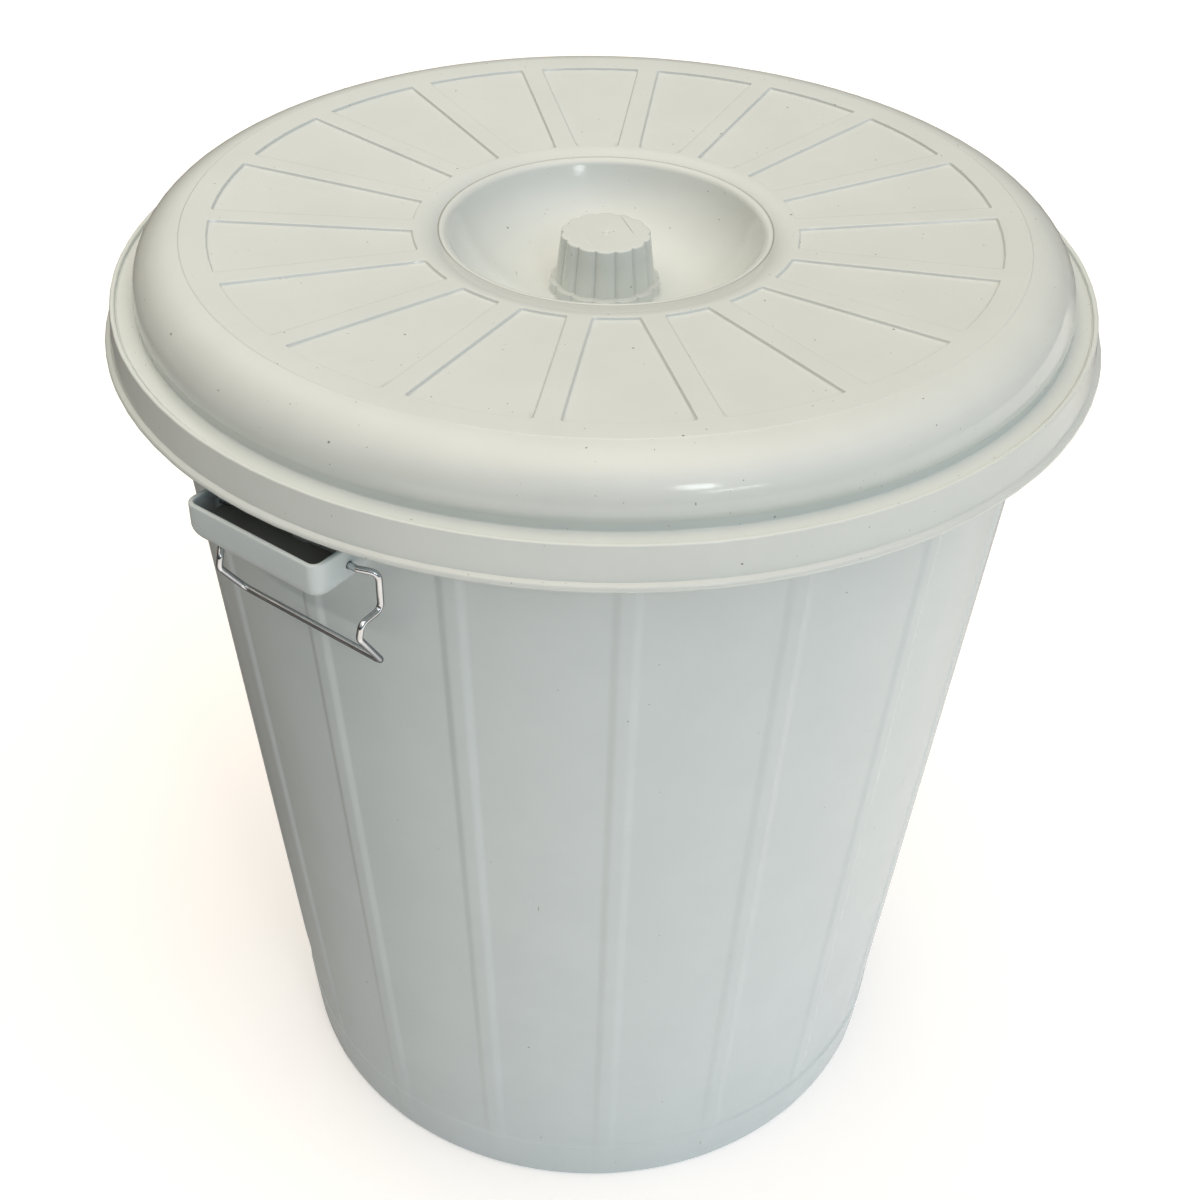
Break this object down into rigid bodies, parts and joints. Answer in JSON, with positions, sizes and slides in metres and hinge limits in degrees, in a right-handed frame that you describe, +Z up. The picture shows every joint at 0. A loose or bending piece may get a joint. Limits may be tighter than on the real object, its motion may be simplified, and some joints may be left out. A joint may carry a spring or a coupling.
{
  "type": "round plastic bin with lid",
  "caption": "Round moulded plastic bin: tapered ribbed tub, lift-off lid with a fluted knob sunk in a dish, and a bent-wire bail hung in an ear on each side",
  "frame": {"origin": "middle of the tub's foot, on the floor", "axes": "+Z up; the two ears and their bails lie on the -X and +X sides; the front, +-Y, is plain"},
  "size_m": [0.5138, 0.51, 0.5536],
  "materials": {
    "tub_plastic": "pale blue-grey moulded polypropylene, semi-gloss, with handling scuffs",
    "lid_plastic": "pale warm grey moulded polypropylene, semi-gloss, with small dark specks",
    "steel_wire": "bright plated steel wire"
  },
  "bodies": {
    "tub": {"tub": "tub_plastic"},
    "lid": {"lid": "lid_plastic"},
    "bail_left": {"bail_left": "steel_wire"},
    "bail_right": {"bail_right": "steel_wire"}
  },
  "joints": [
    {"name": "lid_lift", "type": "slide", "parent": "tub", "child": "lid", "axis": [0, 0, 1], "range_m": [0, 0.15]},
    {"name": "bail_left_swing", "type": "hinge", "parent": "tub", "child": "bail_left", "pos_m": [-0.2365, 0, 0.486], "axis": [0, 1, 0], "range_deg": [-6, 115]},
    {"name": "bail_right_swing", "type": "hinge", "parent": "tub", "child": "bail_right", "pos_m": [0.2365, 0, 0.486], "axis": [0, -1, 0], "range_deg": [-6, 115]}
  ]
}
